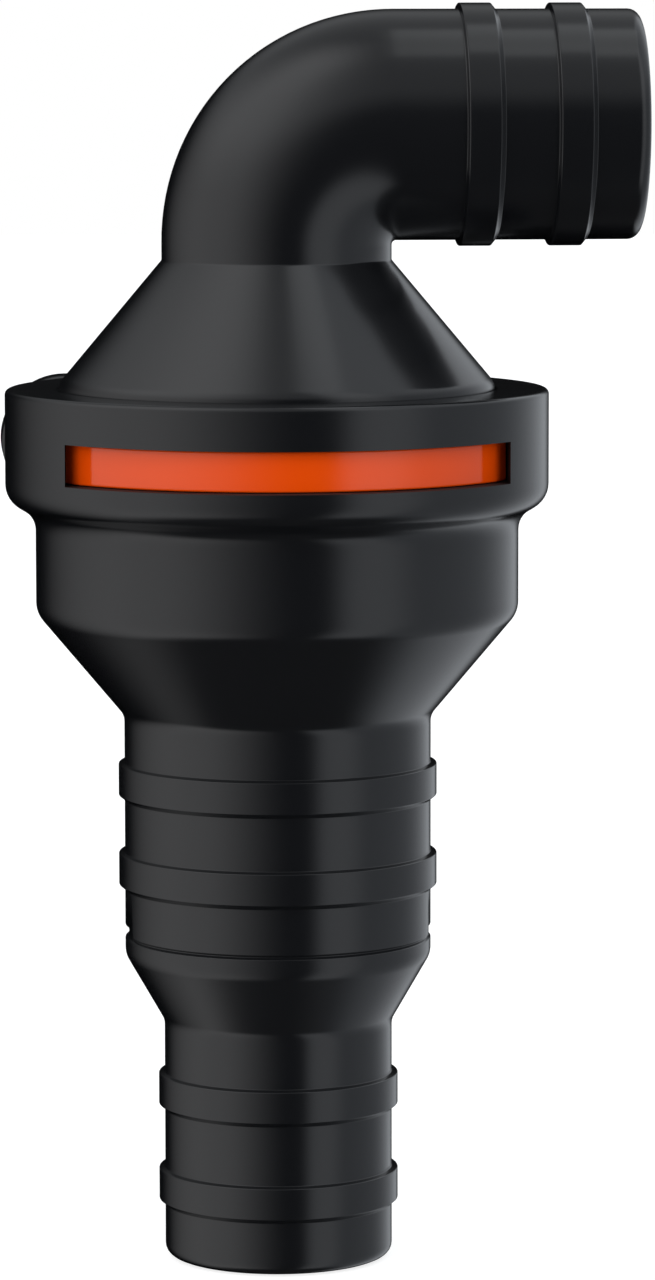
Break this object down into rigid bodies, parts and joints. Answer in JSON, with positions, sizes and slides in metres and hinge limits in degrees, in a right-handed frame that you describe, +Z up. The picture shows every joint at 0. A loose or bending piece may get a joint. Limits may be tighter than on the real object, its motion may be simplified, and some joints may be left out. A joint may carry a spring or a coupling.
{
  "type": "non-return valve",
  "caption": "Hose-barbed non-return valve with a stepped inlet tail, an internal spring-loaded flap, a turning elbow outlet and a pull-out retaining clip.",
  "frame": {"origin": "centre of the inlet's end face, on the valve's axis", "axes": "+Z up the valve's axis away from the inlet, +X along the outlet as drawn, +Y out of the back of the mounting plate"},
  "size_m": [0.0784, 0.0678, 0.1561],
  "materials": {
    "housing": "satin black",
    "clip": "satin orange-red",
    "seal_rubber": "matt black",
    "inner_plastic": "satin grey",
    "steel": "satin",
    "bush_brass": "satin"
  },
  "bodies": {
    "valve_body": {"lower_body": "housing", "seat_gasket": "seal_rubber", "seat_ring": "inner_plastic", "hinge_pin": "steel", "return_spring": "steel"},
    "elbow": {"outlet_elbow": "housing", "spigot_o_ring_lower": "seal_rubber", "spigot_o_ring_upper": "seal_rubber"},
    "clip": {"retaining_clip": "clip"},
    "flap": {"flap_arm": "inner_plastic", "flap_bushes": "bush_brass", "flap_seal": "seal_rubber", "flap_clamp_disc": "steel", "flap_screw": "steel", "flap_washer": "steel", "flap_nut": "steel"}
  },
  "joints": [
    {"name": "elbow_swivel", "type": "hinge", "parent": "valve_body", "child": "elbow", "pos_m": [0, 0, 0.1], "axis": [0, 0, 1], "continuous": true},
    {"name": "clip_pull", "type": "slide", "parent": "valve_body", "child": "clip", "axis": [0, -1, 0], "range_m": [0, 0.048]},
    {"name": "flap_swing", "type": "hinge", "parent": "valve_body", "child": "flap", "pos_m": [-0.0176, 0, 0.09163], "axis": [0, -1, 0], "range_deg": [0, 70], "stiffness_Nm_per_rad": 0.002, "springref_deg": -20.05, "deforming": ["return_spring"]}
  ]
}
